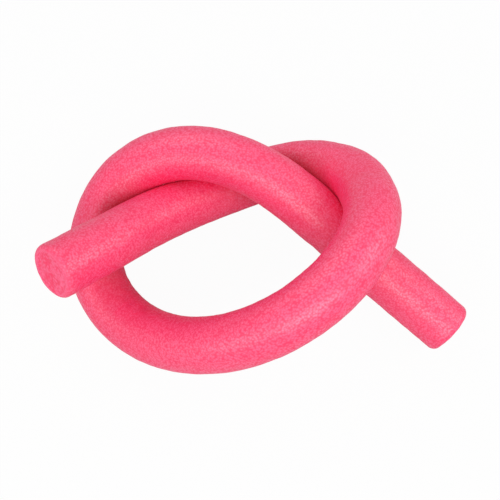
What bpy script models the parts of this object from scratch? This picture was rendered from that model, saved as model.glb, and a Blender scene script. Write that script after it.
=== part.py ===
"""A solid foam pool noodle, tied in a loose overhand knot and lying on a flat surface.

Metres, +Z up. The origin lies on that surface, under the middle of the noodle's outline.
The stick starts at its left tip in the air, passes over the left crossing, dips to the surface,
turns back high through the right lobe and the bottom curve, goes under itself at the left,
rises over itself at the top and ends under the right crossing, with its right tip on the surface.
"""

from math import asin, atan2, ceil, cos, degrees, hypot, pi, radians, sin

import bmesh
import bpy
from mathutils import Vector

# Driving sizes of the foam stick
NOODLE_DIAMETER = 0.065
RIM_RADIUS = 0.008

# The free tails, each measured from the knot's outermost guide point, and where they point
LEFT_TAIL_LENGTH = 0.107
LEFT_TAIL_HEADING = radians(219)
LEFT_TAIL_RISE = radians(28)
RIGHT_TAIL_LENGTH = 0.219
RIGHT_TAIL_HEADING = radians(-39)

# The soft foam flattens this deep where it rests
REST_FLAT_DEPTH = 0.0005

# How finely the surface is divided
RING_SPACING = 0.016
SIDES = 32
RIM_STEPS = 3
SPLINE_STEPS = 60
WELD_DISTANCE = 0.00005

# How far the cutter reaches past what it cuts
CUT_OVERRUN = 0.020

# The knot's guide points, x, y and height, in shares of the noodle's diameter: the strands lean
# on each other where they cross, so a thicker noodle ties a larger knot. A strand that rests on
# the surface has its middle half a diameter up.
KNOT_SHARES = [
    (-2.23, -0.12, 1.55),
    (-1.42, 0.58, 0.77),
    (-0.08, 1.30, 0.39),
    (1.21, 1.61, 0.67),
    (2.24, 0.98, 1.49),
    (2.09, -0.62, 2.73),
    (0.85, -1.90, 2.69),
    (-0.64, -2.26, 1.67),
    (-2.07, -1.82, 0.48),
    (-3.07, -0.64, 0.47),
    (-2.77, 0.99, 0.82),
    (-1.48, 1.66, 1.39),
    (-0.02, 1.25, 1.66),
    (1.14, 0.40, 1.13),
]

FOAM_COLOUR = (0.87, 0.055, 0.135, 1.0)
FOAM_ROUGHNESS = 0.75


def heading_vector(heading, rise):
    """The unit vector that points along a heading in plan and rises by an angle."""
    return Vector((cos(rise) * cos(heading), cos(rise) * sin(heading), sin(rise)))


def right_tail_drop(start_height):
    """The angle at which a straight tail comes down until its rounded rim meets the surface."""
    radius = NOODLE_DIAMETER / 2
    straight = RIGHT_TAIL_LENGTH - RIM_RADIUS
    core = radius - RIM_RADIUS
    fall = start_height + REST_FLAT_DEPTH - RIM_RADIUS
    return asin(fall / hypot(straight, core)) - atan2(core, straight)


def guide_points():
    """The guide points from the left tip, through the knot, to the right tip."""
    knot = []
    for x_share, y_share, height_share in KNOT_SHARES:
        place = Vector((x_share, y_share, height_share)) * NOODLE_DIAMETER
        place.z -= REST_FLAT_DEPTH
        knot.append(place)
    left_way = heading_vector(LEFT_TAIL_HEADING, LEFT_TAIL_RISE)
    left_tip = knot[0] + left_way * LEFT_TAIL_LENGTH
    right_way = heading_vector(RIGHT_TAIL_HEADING, -right_tail_drop(knot[-1].z))
    right_middle = knot[-1] + right_way * RIGHT_TAIL_LENGTH / 2
    right_tip = knot[-1] + right_way * RIGHT_TAIL_LENGTH
    return [left_tip, *knot, right_middle, right_tip]


def smooth_route(guides):
    """Points close together on the cubic B-spline that the guides steer, from tip to tip."""
    before = guides[0] * 2 - guides[1]
    after = guides[-1] * 2 - guides[-2]
    padded = [before, *guides, after]
    route = []
    for index in range(len(guides) - 1):
        first, second, third, fourth = padded[index:index + 4]
        for step in range(SPLINE_STEPS):
            t = step / SPLINE_STEPS
            route.append((first * (1 - t) ** 3
                          + second * (3 * t ** 3 - 6 * t ** 2 + 4)
                          + third * (-3 * t ** 3 + 3 * t ** 2 + 3 * t + 1)
                          + fourth * t ** 3) / 6)
    route.append(guides[-1].copy())
    return route


def distances_along(route):
    """How far along the route each of its points lies."""
    distances = [0.0]
    for here, there in zip(route, route[1:]):
        distances.append(distances[-1] + (there - here).length)
    return distances


def place_at(route, distances, distance):
    """The place at a distance along the route."""
    for index in range(1, len(route)):
        if distances[index] >= distance:
            break
    share = (distance - distances[index - 1]) / (distances[index] - distances[index - 1])
    return route[index - 1].lerp(route[index], share)


def ring_stations(length):
    """Where the rings lie along the noodle and their radius, with a rounded rim at each tip."""
    radius = NOODLE_DIAMETER / 2
    rim = []
    for step in range(RIM_STEPS + 1):
        angle = (1 - step / RIM_STEPS) * pi / 2
        rim.append((RIM_RADIUS * (1 - sin(angle)), radius - RIM_RADIUS * (1 - cos(angle))))
    body_length = length - 2 * RIM_RADIUS
    count = ceil(body_length / RING_SPACING)
    body = [(RIM_RADIUS + body_length * step / count, radius) for step in range(1, count)]
    far_rim = [(length - back, ring_radius) for back, ring_radius in reversed(rim)]
    return rim + body + far_rim


def least_gap(route, distances):
    """The narrowest space between two strands of the noodle that cross."""
    apart = NOODLE_DIAMETER * 2.5
    step = SPLINE_STEPS // 20
    points = list(zip(route, distances))[::step]
    gap = None
    for index, (here, here_distance) in enumerate(points):
        for there, there_distance in points[index + 1:]:
            if there_distance - here_distance > apart:
                space = (there - here).length - NOODLE_DIAMETER
                gap = space if gap is None else min(gap, space)
    return gap


def new_collection(name):
    collection = bpy.data.collections.new(name)
    bpy.context.scene.collection.children.link(collection)
    return collection


def foam_material():
    """Closed-cell polyethylene foam, dyed red-pink, with the matt skin that extrusion leaves."""
    material = bpy.data.materials.new("red_pink_foam")
    material.use_nodes = True
    shader = material.node_tree.nodes["Principled BSDF"]
    shader.inputs["Base Color"].default_value = FOAM_COLOUR
    shader.inputs["Roughness"].default_value = FOAM_ROUGHNESS
    shader.inputs["Metallic"].default_value = 0.0
    material.diffuse_color = FOAM_COLOUR
    return material


def stick_curve(route, distances):
    """The knotted stick as a bevelled curve with filled ends."""
    radius = NOODLE_DIAMETER / 2
    stations = ring_stations(distances[-1])
    curve = bpy.data.curves.new("stick_route", "CURVE")
    curve.dimensions = "3D"
    curve.bevel_depth = radius
    curve.bevel_resolution = SIDES // 2 - 2
    curve.use_fill_caps = True
    spline = curve.splines.new("POLY")
    spline.points.add(len(stations) - 1)
    for point, (distance, ring_radius) in zip(spline.points, stations):
        place = place_at(route, distances, distance)
        point.co = (*place, 1.0)
        point.radius = ring_radius / radius
    return bpy.data.objects.new("stick_route", curve)


def mesh_from_curve(curve_object, name):
    """A welded mesh object in the curve's place, which the curve makes way for."""
    depsgraph = bpy.context.evaluated_depsgraph_get()
    mesh = bpy.data.meshes.new_from_object(curve_object.evaluated_get(depsgraph))
    mesh.name = name
    welder = bmesh.new()
    welder.from_mesh(mesh)
    bmesh.ops.remove_doubles(welder, verts=welder.verts, dist=WELD_DISTANCE)
    welder.to_mesh(mesh)
    welder.free()
    mesh_object = bpy.data.objects.new(name, mesh)
    mesh_object.matrix_world = curve_object.matrix_world
    bpy.data.objects.remove(curve_object)
    return mesh_object


def plan_centre(mesh):
    """The middle of the mesh's outline, seen from above."""
    xs = [vertex.co.x for vertex in mesh.vertices]
    ys = [vertex.co.y for vertex in mesh.vertices]
    return Vector(((min(xs) + max(xs)) / 2, (min(ys) + max(ys)) / 2, 0.0))


def resting_surface_cutter(noodle, collection):
    """A block under the resting surface, wider than the noodle, that cuts its underside flat."""
    width = noodle.dimensions.x + 2 * CUT_OVERRUN
    depth = noodle.dimensions.y + 2 * CUT_OVERRUN
    shape = bmesh.new()
    bmesh.ops.create_cube(shape, size=1.0)
    bmesh.ops.scale(shape, vec=(width, depth, CUT_OVERRUN), verts=shape.verts)
    bmesh.ops.translate(shape, vec=(0.0, 0.0, -CUT_OVERRUN / 2), verts=shape.verts)
    mesh = bpy.data.meshes.new("resting_surface_cutter")
    shape.to_mesh(mesh)
    shape.free()
    cutter = bpy.data.objects.new("resting_surface_cutter", mesh)
    cutter.hide_render = True
    cutter.display_type = "WIRE"
    collection.objects.link(cutter)
    return cutter


def build_noodle():
    """The one piece: the foam stick, flat where it rests."""
    parts = new_collection("pool_noodle")
    cutters = new_collection("cutters")
    route = smooth_route(guide_points())
    distances = distances_along(route)
    route_object = stick_curve(route, distances)
    parts.objects.link(route_object)
    bpy.context.view_layer.update()
    noodle = mesh_from_curve(route_object, "foam_noodle")
    parts.objects.link(noodle)
    noodle.data.materials.clear()
    noodle.data.materials.append(foam_material())
    noodle.location = -plan_centre(noodle.data)
    noodle.data.shade_smooth()
    noodle.data.set_sharp_from_angle(angle=radians(40))
    flat = noodle.modifiers.new("rest_flats", "BOOLEAN")
    flat.operation = "DIFFERENCE"
    flat.solver = "EXACT"
    flat.object = resting_surface_cutter(noodle, cutters)
    print("length along the middle, m:", round(distances[-1], 4))
    print("least gap between crossing strands, mm:", round(least_gap(route, distances) * 1000, 2))
    drop = right_tail_drop(guide_points()[-3].z)
    print("right tail comes down at, degrees:", round(degrees(drop), 1))
    return noodle


for leftover in list(bpy.data.objects):
    bpy.data.objects.remove(leftover)
build_noodle()
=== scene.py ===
from math import cos, pi, radians, sin

import bmesh
import bpy
import numpy as np
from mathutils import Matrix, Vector, noise


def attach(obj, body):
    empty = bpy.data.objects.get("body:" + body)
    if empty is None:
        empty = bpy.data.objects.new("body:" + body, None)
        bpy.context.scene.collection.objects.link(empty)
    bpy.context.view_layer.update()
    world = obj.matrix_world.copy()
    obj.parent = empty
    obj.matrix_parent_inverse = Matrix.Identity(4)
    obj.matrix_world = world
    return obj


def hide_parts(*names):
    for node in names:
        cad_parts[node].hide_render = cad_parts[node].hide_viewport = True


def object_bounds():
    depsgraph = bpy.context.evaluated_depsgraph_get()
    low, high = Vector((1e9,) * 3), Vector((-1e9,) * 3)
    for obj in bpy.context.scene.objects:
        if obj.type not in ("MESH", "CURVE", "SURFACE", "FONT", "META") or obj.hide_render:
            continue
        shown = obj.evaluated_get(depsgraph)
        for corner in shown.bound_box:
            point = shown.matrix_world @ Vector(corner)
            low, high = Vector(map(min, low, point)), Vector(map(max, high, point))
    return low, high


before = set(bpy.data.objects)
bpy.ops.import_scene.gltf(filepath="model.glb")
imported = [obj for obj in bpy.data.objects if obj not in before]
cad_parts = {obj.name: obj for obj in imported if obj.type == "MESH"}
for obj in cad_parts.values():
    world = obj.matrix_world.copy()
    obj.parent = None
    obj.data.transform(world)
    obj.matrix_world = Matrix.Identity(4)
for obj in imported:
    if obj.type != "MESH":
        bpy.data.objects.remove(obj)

cad_low, cad_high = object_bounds()

# The route. The noodle is one straight extruded stick, tied by hand in a loose overhand knot. Its
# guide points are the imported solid's own, in shares of its diameter: they run from the left end in
# the air, over the left bend, round the right lobe and the near curve, to the right end.

NOODLE_DIAMETER = 0.065
RADIUS = NOODLE_DIAMETER / 2
RIM_RADIUS = 0.008
REST_FLAT_DEPTH = 0.0005
KNOT_SHARES = [
    (-2.23, -0.12, 1.55),
    (-1.42, 0.58, 0.77),
    (-0.08, 1.30, 0.39),
    (1.21, 1.61, 0.67),
    (2.24, 0.98, 1.49),
    (2.09, -0.62, 2.73),
    (0.85, -1.90, 2.69),
    (-0.64, -2.26, 1.67),
    (-2.07, -1.82, 0.48),
    (-3.07, -0.64, 0.47),
    (-2.77, 0.99, 0.82),
    (-1.48, 1.66, 1.39),
    (-0.02, 1.25, 1.66),
    (1.14, 0.40, 1.13),
]
LEFT_TAIL_LENGTH = 0.107
LEFT_TAIL_HEADING = radians(219)
LEFT_TAIL_RISE = radians(28)
RIGHT_TAIL_LENGTH = 0.219
RIGHT_TAIL_HEADING = radians(-39)
RIGHT_TAIL_RISE = radians(-11.3)
SPLINE_STEPS = 100


def heading_vector(heading, rise):
    """The unit vector that points along a heading in plan and rises by an angle."""
    return np.array([cos(rise) * cos(heading), cos(rise) * sin(heading), sin(rise)])


def smooth_route(guides):
    """Points close together on the cubic B-spline that the guides steer, from tip to tip."""
    padded = [2 * guides[0] - guides[1], *guides, 2 * guides[-1] - guides[-2]]
    route = []
    for index in range(len(guides) - 1):
        first, second, third, fourth = padded[index:index + 4]
        for t in np.linspace(0, 1, SPLINE_STEPS, endpoint=False):
            route.append((first * (1 - t) ** 3
                          + second * (3 * t ** 3 - 6 * t ** 2 + 4)
                          + third * (-3 * t ** 3 + 3 * t ** 2 + 3 * t + 1)
                          + fourth * t ** 3) / 6)
    return np.array([*route, guides[-1]])


def unit(vectors):
    """The vectors, each made one unit long."""
    return vectors / np.linalg.norm(vectors, axis=-1, keepdims=True)


def carried_across(ways):
    """A direction across the stick at each point of the route, carried along it without a twist."""
    across = [unit(np.cross(ways[0], (0, 0, 1)))]
    for way in ways[1:]:
        across.append(unit(across[-1] - way * across[-1].dot(way)))
    return np.array(across)


knot = np.array(KNOT_SHARES) * NOODLE_DIAMETER - (0, 0, REST_FLAT_DEPTH)
left_way = heading_vector(LEFT_TAIL_HEADING, LEFT_TAIL_RISE)
right_way = heading_vector(RIGHT_TAIL_HEADING, RIGHT_TAIL_RISE)
guides = [
    knot[0] + left_way * LEFT_TAIL_LENGTH,
    *knot,
    knot[-1] + right_way * RIGHT_TAIL_LENGTH / 2,
    knot[-1] + right_way * RIGHT_TAIL_LENGTH,
]
route = smooth_route(guides)

# Where the noodle lies against itself. The knot holds because its strands press on each other, so
# they are drawn together here across the solid's small gaps. What rests on the surface stays put.

# Points nearer to each other along the stick than this are on one strand
ONE_STRAND = 0.150
HELD_GAP = 0.0025
FREE_GAP = 0.0085
PRESS_DEPTH = 0.0008
LIFTED = 0.020
RESTING_FREEDOM = 0.02
PULL_SPREAD = 0.022
PULLS = 5


def distances_along(route):
    """How far along the route each of its points lies."""
    steps = np.linalg.norm(np.diff(route, axis=0), axis=1)
    return np.concatenate([[0], np.cumsum(steps)])


def nearest_strand(route, stations):
    """The nearest point of another strand to each point of the route, and how far off it is."""
    apart = np.linalg.norm(route[:, None] - route[None], axis=2)
    apart[np.abs(stations[:, None] - stations[None]) < ONE_STRAND] = np.inf
    return apart.argmin(axis=1), apart.min(axis=1)


def evened(vectors, stations):
    """The vectors, evened out over a short stretch of the route."""
    share = np.exp(-((stations[:, None] - stations[None]) / PULL_SPREAD) ** 2)
    return share @ vectors / share.sum(axis=1, keepdims=True)


stations = distances_along(route)
partner, spacing = nearest_strand(route, stations)
held = np.clip((FREE_GAP - (spacing - NOODLE_DIAMETER)) / (FREE_GAP - HELD_GAP), 0, 1)
drawn_spacing = spacing - held * (spacing - NOODLE_DIAMETER + 2 * PRESS_DEPTH)
free_to_move = np.clip((route[:, 2] - RADIUS) / LIFTED, RESTING_FREEDOM, 1)
for _ in range(PULLS):
    partner, spacing = nearest_strand(route, stations)
    towards = (route[partner] - route) / spacing[:, None]
    own_share = free_to_move / (free_to_move + free_to_move[partner])
    pull = own_share * np.maximum(spacing - drawn_spacing, 0)
    route = route + evened(towards * pull[:, None], stations)

stations = distances_along(route)
length = stations[-1]
partner, spacing = nearest_strand(route, stations)
ways = unit(np.gradient(route, stations, axis=0))
across = carried_across(ways)
upright = np.cross(ways, across)
bends = np.gradient(ways, stations, axis=0)

# The stick. Foam this thick is extruded round and cut to length square, which leaves a soft rounded
# rim. It is turned here as a straight stick on the Z axis, with rings close enough together to
# carry the dents and creases of its skin, and is bent along the route afterwards.

RING_SPACING = 0.002
SIDES = 112
RIM_STEPS = 8
CAP_STEPS = 12
WELD_DISTANCE = 0.00001


def half_cap_profile():
    """Radius and height from the middle of a cut face out and round its rim."""
    core = RADIUS - RIM_RADIUS
    points = [(core * step / CAP_STEPS, 0.0) for step in range(CAP_STEPS)]
    for step in range(RIM_STEPS + 1):
        angle = step / RIM_STEPS * pi / 2
        points.append((core + RIM_RADIUS * sin(angle), RIM_RADIUS * (1 - cos(angle))))
    return points


def turned_stick():
    """The straight stick, turned from its profile, as a bmesh."""
    cap = half_cap_profile()
    rings = round((length - 2 * RIM_RADIUS) / RING_SPACING)
    side = np.linspace(RIM_RADIUS, length - RIM_RADIUS, rings + 1)[1:-1]
    profile = cap + [(RADIUS, height) for height in side]
    profile += [(radius, length - height) for radius, height in reversed(cap)]
    stick = bmesh.new()
    verts = [stick.verts.new((radius, 0.0, height)) for radius, height in profile]
    edges = [stick.edges.new(pair) for pair in zip(verts, verts[1:])]
    bmesh.ops.spin(stick, geom=verts + edges, cent=(0, 0, 0), axis=(0, 0, 1),
                   angle=2 * pi, steps=SIDES, use_merge=True)
    bmesh.ops.remove_doubles(stick, verts=stick.verts, dist=WELD_DISTANCE)
    bmesh.ops.recalc_face_normals(stick, faces=stick.faces)
    return stick


stick = turned_stick()
foam_mesh = bpy.data.meshes.new("pool_noodle_foam")
stick.to_mesh(foam_mesh)
stick.free()
foam_mesh.shade_smooth()
foam = bpy.data.objects.new("pool_noodle_foam", foam_mesh)
bpy.context.scene.collection.objects.link(foam)

straight = np.empty(len(foam_mesh.vertices) * 3)
foam_mesh.vertices.foreach_get("co", straight)
straight = straight.reshape(-1, 3)
unbent = foam_mesh.attributes.new("unbent", "FLOAT_VECTOR", "POINT")
unbent.data.foreach_set("vector", straight.ravel())

# The skin's relief. Extrusion leaves the stick a little uneven and finely dimpled, hands leave soft
# dents in it, and the inside of each tight bend gathers in shallow creases. The blade drags at the
# foam as it cuts, so the cut faces are a little dished and torn.

WAVE_SIZE = 0.110
WAVE_DEPTH = 0.0005
DENT_SIZE = 0.028
DENT_DEPTH = 0.0011
DENT_START = 0.22
DIMPLE_SIZE = 0.011
DIMPLE_DEPTH = 0.00030
PEBBLE_SIZE = 0.0055
PEBBLE_DEPTH = 0.00016
CREASE_SPACING = 0.0055
CREASE_STRETCH = (4, 4, 1)
CREASE_DEPTH = 0.00045
CREASE_START = 0.16
DISH_DEPTH = 0.0016
DRAG_SIZE = 0.016
DRAG_STRETCH = (1, 0.4, 1)
DRAG_DEPTH = 0.0007
TEAR_SIZE = 0.006
TEAR_DEPTH = 0.0005
LEAST_RADIUS = 1e-9


def noise_at(points, size, stretch=(1, 1, 1)):
    """Smooth noise from -1 to 1 at each point, with features of a size, drawn out by stretch."""
    scaled = points / (size * np.array(stretch))
    return np.array([noise.noise(Vector(point)) for point in scaled])


def along(values, heights):
    """The values of the route's points, read at each height of the straight stick."""
    return np.stack([np.interp(heights, stations, column) for column in values.T], axis=1)


heights = straight[:, 2]
radii = np.linalg.norm(straight[:, :2], axis=1)
outward = straight[:, :2] / np.maximum(radii, LEAST_RADIUS)[:, None]
bend = along(bends, heights)
bend_across = np.sum(bend * along(across, heights), axis=1)
bend_upright = np.sum(bend * along(upright, heights), axis=1)
squeeze = RADIUS * (outward[:, 0] * bend_across + outward[:, 1] * bend_upright)
from_end = np.minimum(heights, length - heights)
cut = np.clip((RADIUS - radii) / RIM_RADIUS, 0, 1) * (from_end < RIM_RADIUS)
skin = 1 - cut

relief = WAVE_DEPTH * noise_at(straight, WAVE_SIZE)
relief -= DENT_DEPTH * np.clip(noise_at(straight, DENT_SIZE) - DENT_START, 0, 1)
relief += DIMPLE_DEPTH * noise_at(straight, DIMPLE_SIZE)
relief += PEBBLE_DEPTH * noise_at(straight, PEBBLE_SIZE)
gather = np.clip((squeeze - CREASE_START) / CREASE_START, 0, 1)
creases = noise_at(straight, CREASE_SPACING, CREASE_STRETCH)
relief += CREASE_DEPTH * gather * np.minimum(creases, 0)
face_relief = DISH_DEPTH * cut ** 2
face_relief += DRAG_DEPTH * noise_at(straight, DRAG_SIZE, DRAG_STRETCH) * cut
face_relief += TEAR_DEPTH * noise_at(straight, TEAR_SIZE) * cut
inward = np.where(heights < length / 2, 1.0, -1.0)
shaped = straight.copy()
shaped[:, :2] += outward * (relief * skin)[:, None]
shaped[:, 2] += face_relief * inward

# The knot. The straight stick is bent along its route. Where its strands meet, the soft foam goes
# flat halfway between their middles. Painted shade darkens the skin in the creases beside a strand
# that lies over a tight bend. Its own weight flattens it where it rests. Its outline is centred on
# the imported solid's.

TOUCH_GAP = 0.0002
PARTNER_POINTS = 60
PRESS_PASSES = 3
CREASE_REACH = 0.040

# How far the painted crease shade reaches from the other strand's skin, and how much further in a
# bend
CREASE_SHADE_FADE = 0.0040
BEND_SHADE_FADE = 0.0130
FADE_START = -0.2

# The painted shade is laid on a tight bend, more under the other strand than over it, more on the
# inside of the bend than on its outside, and only where the skin faces that strand
LOOSE_BEND = 0.12
TIGHT_BEND = 0.22
OVERHEAD_SLOPES = (-0.25, 0, 0.35, 0.6)
OVERHEAD_SHARES = (0, 0.35, 1, 1.5)
OUTSIDE_SHARE = 0.4
INSIDE_START = -0.5
FACED_FULLY = 0.5

places = along(route, shaped[:, 2])
bent = places + along(across, heights) * shaped[:, :1] + along(upright, heights) * shaped[:, 1:2]

ring = np.clip(np.searchsorted(stations, heights), 0, len(stations) - 1)
facing = np.sum((route[partner[ring]] - places) * (bent - places), axis=1)
touching = np.flatnonzero((spacing[ring] < NOODLE_DIAMETER + CREASE_REACH) & (facing > 0))
centres = places[touching]
spokes = bent[touching] - centres
reach = np.linalg.norm(spokes, axis=1)
spokes = spokes / reach[:, None]
window = np.arange(-PARTNER_POINTS, PARTNER_POINTS + 1)
others = route[np.clip(partner[ring[touching]][:, None] + window, 0, len(route) - 1)]
for _ in range(PRESS_PASSES):
    skin_points = centres + spokes * reach[:, None]
    closest = np.linalg.norm(others - skin_points[:, None], axis=2).argmin(axis=1)
    to_other = others[np.arange(len(others)), closest] - centres
    ahead = np.sum(to_other * spokes, axis=1) + TOUCH_GAP
    ahead = np.maximum(ahead, TOUCH_GAP)
    halfway = (np.sum(to_other ** 2, axis=1) - TOUCH_GAP ** 2) / (2 * ahead)
    reach = np.minimum(reach, halfway)
bent[touching] = centres + spokes * reach[:, None]

to_skin = np.linalg.norm(to_other - spokes * reach[:, None], axis=1) - RADIUS
to_other = unit(to_other)
curl = RADIUS * np.linalg.norm(bend[touching], axis=1)
inside = squeeze[touching] / CREASE_START
overhead = np.interp(to_other[:, 2], OVERHEAD_SLOPES, OVERHEAD_SHARES)
fade = CREASE_SHADE_FADE + BEND_SHADE_FADE * np.clip(inside - FADE_START, 0, 1)
# Painted shade in the crease, fading with the distance from the other strand's skin
crease_shading = np.exp(-np.maximum(to_skin, 0) / fade)
crease_shading *= overhead * np.interp(curl, (LOOSE_BEND, TIGHT_BEND), (0, 1))
crease_shading *= OUTSIDE_SHARE + (1 - OUTSIDE_SHARE) * np.clip(inside - INSIDE_START, 0, 1)
crease_shading *= np.clip(np.sum(to_other * spokes, axis=1) / FACED_FULLY, 0, 1)
painted_crease_shade = np.zeros(len(bent))
painted_crease_shade[touching] = crease_shading

middle = (bent.min(axis=0) + bent.max(axis=0)) / 2
cad_middle = (np.array(cad_low) + np.array(cad_high)) / 2
bent[:, :2] += (cad_middle - middle)[:2]
bent[:, 2] = np.maximum(bent[:, 2], 0.0)
foam_mesh.vertices.foreach_set("co", bent.ravel())
for name, values in (("squeeze", squeeze), ("cut", cut), ("painted_crease_shade", painted_crease_shade)):
    foam_mesh.attributes.new(name, "FLOAT", "POINT").data.foreach_set("value", values)
foam_mesh.update()

# The foam's finish. Closed-cell polyethylene, dyed right through. The satin skin is crinkled by the
# small cells under it. It is deeper on the inside of a bend and paler on its outside, and painted
# shade darkens it in the creases between strands, where it is also more matt. The cells of the cut
# faces lie open, streaked where the blade went through, with a painted highlight in a pale ring near
# the rim.

DEEP_COLOUR = (0.85, 0.007, 0.094, 1.0)
PALE_COLOUR = (0.91, 0.088, 0.218, 1.0)
# The dark red of the painted shade in the creases
CREASE_SHADE_COLOUR = (0.42, 0.0, 0.015, 1.0)
SKIN_CELL = 0.0023
OPEN_CELL = 0.0032
GRAIN_BUMP = 0.00018

# How fine and how rough the noise is in the crinkle, and in the slower mottling and streaks
CRINKLE_DETAIL = 1.0
CRINKLE_ROUGHNESS = 1.0
SLOW_DETAIL = 2.0
SLOW_ROUGHNESS = 0.6

# How much each cell's bulge, its own height and the crinkle over it raise the grain
BULGE_HEIGHT = 0.45
OWN_HEIGHT = 0.15
CRINKLE_HEIGHT = 0.4

# How much the same three, in the same order, turn its tone from deep to pale
BULGE_TONE = 1.9
OWN_TONE = 0.3
CRINKLE_TONE = 1.2
GRAIN_TONE_SHIFT = -1.33

# The skin: slow mottling over the grain's tone, and how much deeper it is on the inside of a bend
# and paler on its outside
MOTTLE_SIZE = 0.012
MOTTLE_TONE = 0.25
SKIN_TONE_SHIFT = -0.12
SQUEEZE_TONE = -0.5

# The cut faces: streaks over the grain's tone, and a painted highlight in a pale ring near the rim
STREAK_SIZE = 0.011
STREAK_STRETCH = (1.0, 0.3, 1.0)
STREAK_TONE = 2.0
OPEN_TONE_SHIFT = -1.1
RIM_HIGHLIGHT_FOLD = 1.6
RIM_HIGHLIGHT_SHARPNESS = 2.0
RIM_HIGHLIGHT_TONE = 1.3

# The painted shade in the creases: how far the colour goes towards its dark red, at most how far,
# and how much more matt
CREASE_SHADE_STRENGTH = 0.9
DARKEST_CREASE_SHADE = 0.9
CREASE_SHADE_MATTNESS = 0.55

# The gloss: pale cells stand up and are rubbed smoother than the deep ones between them
SKIN_GLOSS = 1.0
SKIN_ROUGHNESS = 0.43
CUT_ROUGHNESS = 0.62
CELL_SMOOTHING = 0.16


def new_node(tree, kind, **settings):
    """A new node with its settings."""
    made = tree.nodes.new(kind)
    for name, value in settings.items():
        setattr(made, name, value)
    return made


def feed(tree, socket, value):
    """Sets a socket to a plain value, or joins another node's output to it."""
    if isinstance(value, bpy.types.NodeSocket):
        tree.links.new(value, socket)
    else:
        socket.default_value = value


def worked_out(tree, operation, *values, clamp=False):
    """A Math node's result. Each value is a number or another node's output."""
    made = new_node(tree, "ShaderNodeMath", operation=operation, use_clamp=clamp)
    for socket, value in zip(made.inputs, values):
        feed(tree, socket, value)
    return made.outputs["Value"]


def blended(tree, data_type, share, first, second):
    """A Mix node's result, for two colours, RGBA, or two numbers, FLOAT."""
    made = new_node(tree, "ShaderNodeMix", data_type=data_type)
    feed(tree, made.inputs["Factor"], share)
    feed(tree, made.inputs["A"], first)
    feed(tree, made.inputs["B"], second)
    return made.outputs["Result"]


def noise_texture(tree, vector, scale, detail, roughness):
    """A Noise Texture's value, from 0 to 1."""
    made = new_node(tree, "ShaderNodeTexNoise")
    feed(tree, made.inputs["Vector"], vector)
    feed(tree, made.inputs["Scale"], scale)
    made.inputs["Detail"].default_value = detail
    made.inputs["Roughness"].default_value = roughness
    return made.outputs["Fac"]


def attribute(tree, name, output):
    """One of the mesh's own attributes."""
    return new_node(tree, "ShaderNodeAttribute", attribute_name=name).outputs[output]


def foam_grain_group():
    """The crinkle of small uneven cells: how high it stands, and its tone, deep to pale."""
    group = bpy.data.node_groups.new("foam_grain", "ShaderNodeTree")
    group.interface.new_socket("Vector", in_out="INPUT", socket_type="NodeSocketVector")
    group.interface.new_socket("Cells per metre", in_out="INPUT", socket_type="NodeSocketFloat")
    group.interface.new_socket("Height", in_out="OUTPUT", socket_type="NodeSocketFloat")
    group.interface.new_socket("Tone", in_out="OUTPUT", socket_type="NodeSocketFloat")
    given = new_node(group, "NodeGroupInput")
    result = new_node(group, "NodeGroupOutput")
    place, density = given.outputs["Vector"], given.outputs["Cells per metre"]

    cells = new_node(group, "ShaderNodeTexVoronoi", feature="F1")
    feed(group, cells.inputs["Vector"], place)
    feed(group, cells.inputs["Scale"], density)
    bulge = worked_out(group, "SUBTRACT", 1.0, cells.outputs["Distance"])
    colours = new_node(group, "ShaderNodeSeparateColor")
    feed(group, colours.inputs["Color"], cells.outputs["Color"])
    own = colours.outputs["Red"]
    crinkle = noise_texture(group, place, density, CRINKLE_DETAIL, CRINKLE_ROUGHNESS)

    height = worked_out(group, "MULTIPLY", bulge, BULGE_HEIGHT)
    height = worked_out(group, "MULTIPLY_ADD", own, OWN_HEIGHT, height)
    height = worked_out(group, "MULTIPLY_ADD", crinkle, CRINKLE_HEIGHT, height)
    feed(group, result.inputs["Height"], height)

    # The tone rises with the cells' height: partly the foam's own mottle, partly painted shade in
    # the hollows and painted glints on the raised tops
    tone = worked_out(group, "MULTIPLY_ADD", bulge, BULGE_TONE, GRAIN_TONE_SHIFT)
    tone = worked_out(group, "MULTIPLY_ADD", crinkle, CRINKLE_TONE, tone)
    tone = worked_out(group, "MULTIPLY_ADD", own, OWN_TONE, tone)
    feed(group, result.inputs["Tone"], tone)
    return group


def foam_grain(tree, group, vector, cell_size):
    """The grain's height and tone in a material."""
    made = new_node(tree, "ShaderNodeGroup", node_tree=group)
    feed(tree, made.inputs["Vector"], vector)
    made.inputs["Cells per metre"].default_value = 1 / cell_size
    return made.outputs["Height"], made.outputs["Tone"]


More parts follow.
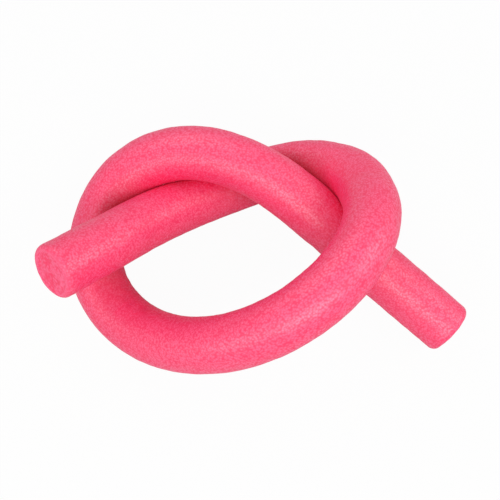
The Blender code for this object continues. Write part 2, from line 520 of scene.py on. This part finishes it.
def foam_material():
    """The foam, with its skin, its cut faces and the painted shade in its creases."""
    material = bpy.data.materials.new("red_pink_foam")
    material.use_nodes = True
    tree = material.node_tree
    shader = tree.nodes["Principled BSDF"]
    shader.inputs["Specular IOR Level"].default_value = SKIN_GLOSS
    group = foam_grain_group()
    stick_place = attribute(tree, "unbent", "Vector")
    squeezed = attribute(tree, "squeeze", "Fac")
    cut_face = attribute(tree, "cut", "Fac")
    shade_in_crease = attribute(tree, "painted_crease_shade", "Fac")
    skin_height, skin_tone = foam_grain(tree, group, stick_place, SKIN_CELL)
    open_height, open_tone = foam_grain(tree, group, stick_place, OPEN_CELL)

    mottle = noise_texture(tree, stick_place, 1 / MOTTLE_SIZE, SLOW_DETAIL, SLOW_ROUGHNESS)
    tone = worked_out(tree, "ADD", skin_tone, SKIN_TONE_SHIFT)
    tone = worked_out(tree, "MULTIPLY_ADD", mottle, MOTTLE_TONE, tone)
    tone = worked_out(tree, "MULTIPLY_ADD", squeezed, SQUEEZE_TONE, tone, clamp=True)
    skin_colour = blended(tree, "RGBA", tone, DEEP_COLOUR, PALE_COLOUR)

    drawn_out = new_node(tree, "ShaderNodeVectorMath", operation="MULTIPLY")
    feed(tree, drawn_out.inputs[0], stick_place)
    feed(tree, drawn_out.inputs[1], STREAK_STRETCH)
    drawn_place = drawn_out.outputs["Vector"]
    streaks = noise_texture(tree, drawn_place, 1 / STREAK_SIZE, SLOW_DETAIL, SLOW_ROUGHNESS)
    # Painted highlight: a pale ring where the cut face turns into its rounded rim
    painted_rim_highlight = worked_out(tree, "MULTIPLY", cut_face, RIM_HIGHLIGHT_FOLD)
    painted_rim_highlight = worked_out(tree, "PINGPONG", painted_rim_highlight, 1.0)
    painted_rim_highlight = worked_out(tree, "POWER", painted_rim_highlight, RIM_HIGHLIGHT_SHARPNESS)
    tone = worked_out(tree, "ADD", open_tone, OPEN_TONE_SHIFT)
    tone = worked_out(tree, "MULTIPLY_ADD", streaks, STREAK_TONE, tone)
    tone = worked_out(tree, "MULTIPLY_ADD", painted_rim_highlight, RIM_HIGHLIGHT_TONE, tone, clamp=True)
    open_colour = blended(tree, "RGBA", tone, DEEP_COLOUR, PALE_COLOUR)

    # Painted shade: the colour goes over towards a dark red in the creases between strands
    share = worked_out(tree, "MULTIPLY", shade_in_crease, CREASE_SHADE_STRENGTH)
    share = worked_out(tree, "MINIMUM", share, DARKEST_CREASE_SHADE)
    colour = blended(tree, "RGBA", cut_face, skin_colour, open_colour)
    colour = blended(tree, "RGBA", share, colour, CREASE_SHADE_COLOUR)
    feed(tree, shader.inputs["Base Color"], colour)

    even_roughness = SKIN_ROUGHNESS + CELL_SMOOTHING / 2
    rough = worked_out(tree, "MULTIPLY_ADD", skin_tone, -CELL_SMOOTHING, even_roughness)
    rough = worked_out(tree, "MULTIPLY_ADD", cut_face, CUT_ROUGHNESS - SKIN_ROUGHNESS, rough)
    rough = worked_out(tree, "MULTIPLY_ADD", shade_in_crease, CREASE_SHADE_MATTNESS, rough, clamp=True)
    feed(tree, shader.inputs["Roughness"], rough)

    bump = new_node(tree, "ShaderNodeBump")
    bump.inputs["Strength"].default_value = 1.0
    bump.inputs["Distance"].default_value = GRAIN_BUMP
    height = blended(tree, "FLOAT", cut_face, skin_height, open_height)
    feed(tree, bump.inputs["Height"], height)
    feed(tree, shader.inputs["Normal"], bump.outputs["Normal"])
    return material


foam_mesh.materials.append(foam_material())
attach(foam, "root")
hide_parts("foam_noodle")

# The studio. A pale sheet that the camera sees as white, a long soft lamp on the viewer's side, a
# low one on the left, square ones on the right and behind the knot, and an even white surround.

SHEET_SIZE = 12.0
SHEET_COLOUR = (0.60, 0.60, 0.60, 1.0)
SHEET_ROUGHNESS = 0.9
SHEET_WHITENESS = 0.96
SURROUND_STRENGTH = 0.71

# Each lamp's name, place, width, height and power in watts
LAMPS = [
    ("near_lamp", (0.1, -0.85, 1.18), 1.4, 0.5, 7.5),
    ("right_lamp", (1.70, 0.20, 1.20), 1.4, 1.4, 10),
    ("far_lamp", (-0.7, 1.4, 1.7), 1.6, 1.6, 9),
    ("left_lamp", (-1.30, -0.90, 0.90), 1.0, 0.6, 4.5),
]


def sheet_material():
    """Plain matt paper that shows the noodle's shadow, and is nearly white to the camera."""
    material = bpy.data.materials.new("pale_sheet")
    material.use_nodes = True
    tree = material.node_tree
    shader = tree.nodes["Principled BSDF"]
    shader.inputs["Base Color"].default_value = SHEET_COLOUR
    shader.inputs["Roughness"].default_value = SHEET_ROUGHNESS
    shader.inputs["Specular IOR Level"].default_value = 0.0
    white = new_node(tree, "ShaderNodeEmission")
    seen = new_node(tree, "ShaderNodeLightPath").outputs["Is Camera Ray"]
    share = worked_out(tree, "MULTIPLY", seen, SHEET_WHITENESS)
    mixed = new_node(tree, "ShaderNodeMixShader")
    tree.links.new(share, mixed.inputs["Fac"])
    tree.links.new(shader.outputs["BSDF"], mixed.inputs[1])
    tree.links.new(white.outputs["Emission"], mixed.inputs[2])
    tree.links.new(mixed.outputs["Shader"], tree.nodes["Material Output"].inputs["Surface"])
    return material


def pale_sheet():
    """The flat sheet that the noodle lies on."""
    shape = bmesh.new()
    bmesh.ops.create_grid(shape, x_segments=1, y_segments=1, size=SHEET_SIZE / 2)
    mesh = bpy.data.meshes.new("pale_sheet")
    shape.to_mesh(mesh)
    shape.free()
    mesh.materials.append(sheet_material())
    sheet = bpy.data.objects.new("pale_sheet", mesh)
    bpy.context.scene.collection.objects.link(sheet)
    return sheet


def soft_lamp(name, place, width, height, power):
    """A soft lamp with an oblong face that looks at the middle of the knot."""
    light = bpy.data.lights.new(name, "AREA")
    light.shape = "RECTANGLE"
    light.size = width
    light.size_y = height
    light.energy = power
    lamp = bpy.data.objects.new(name, light)
    lamp.location = place
    lamp.rotation_euler = (-Vector(place)).to_track_quat("-Z", "Y").to_euler()
    bpy.context.scene.collection.objects.link(lamp)


pale_sheet()
for lamp_row in LAMPS:
    soft_lamp(*lamp_row)

world = bpy.data.worlds.new("surround")
world.use_nodes = True
bpy.context.scene.world = world
world_tree = world.node_tree
surround = world_tree.nodes["Background"]
surround.inputs["Color"].default_value = (1.0, 1.0, 1.0, 1.0)
seen = new_node(world_tree, "ShaderNodeLightPath").outputs["Is Camera Ray"]
dimming = 1 - SURROUND_STRENGTH
strength = worked_out(world_tree, "MULTIPLY_ADD", seen, dimming, SURROUND_STRENGTH)
feed(world_tree, surround.inputs["Strength"], strength)

# The camera, at the photograph's viewing angle: high over the knot, on its near side, with a lens
# long enough that the strands keep nearly the same width. Its aim is a point on the surface.

CAMERA_ELEVATION = radians(75)
CAMERA_DISTANCE = 1.198
CAMERA_LENS = 68.4
CAMERA_AIM = Vector((-0.0101, 0.0209, 0.0))

camera_data = bpy.data.cameras.new("camera")
camera_data.lens = CAMERA_LENS
camera = bpy.data.objects.new("camera", camera_data)
camera_way = Vector((0, -cos(CAMERA_ELEVATION), sin(CAMERA_ELEVATION)))
camera.location = CAMERA_AIM + camera_way * CAMERA_DISTANCE
camera.rotation_euler = (pi / 2 - CAMERA_ELEVATION, 0, 0)
bpy.context.scene.collection.objects.link(camera)
bpy.context.scene.camera = camera
bpy.context.scene.view_settings.view_transform = "Standard"
